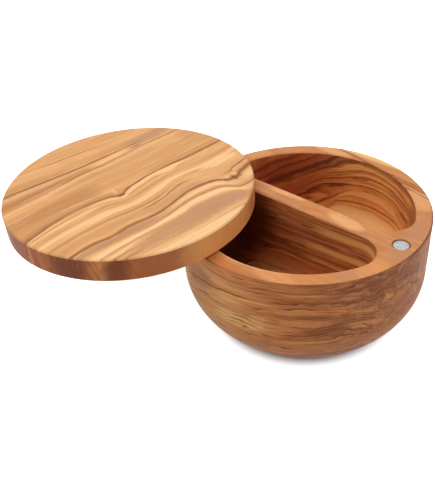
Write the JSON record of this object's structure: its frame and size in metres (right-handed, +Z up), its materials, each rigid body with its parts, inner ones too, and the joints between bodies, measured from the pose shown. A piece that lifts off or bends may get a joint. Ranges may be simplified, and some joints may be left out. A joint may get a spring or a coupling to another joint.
{
  "type": "salt keeper",
  "caption": "Round turned wooden salt keeper with two D-shaped pockets, a divider and a flat lid that swivels on an upright pin and closes on a magnet.",
  "frame": {"origin": "centre of the bowl's base, on the surface it stands on", "axes": "+Z up along the bowl's turning axis, +X along the divider from the lid's pivot to the rim magnet; at rest the lid stands swung aside over -X and -Y"},
  "size_m": [0.1865, 0.1706, 0.0705],
  "materials": {
    "bowl_wood": "oiled olive wood, satin",
    "lid_wood": "oiled olive wood, satin",
    "magnet_nickel": "nickel plate, satin",
    "bush_brass": "satin",
    "pin_steel": "satin"
  },
  "bodies": {
    "bowl": {"bowl": "bowl_wood", "rim_magnet": "magnet_nickel", "pivot_bush": "bush_brass"},
    "lid": {"lid": "lid_wood", "lid_magnet": "magnet_nickel", "pivot_pin": "pin_steel"}
  },
  "joints": [
    {"name": "lid_swivel", "type": "hinge", "parent": "bowl", "child": "lid", "pos_m": [-0.0525, 0, 0.0588], "axis": [0, 0, 1], "continuous": true}
  ]
}
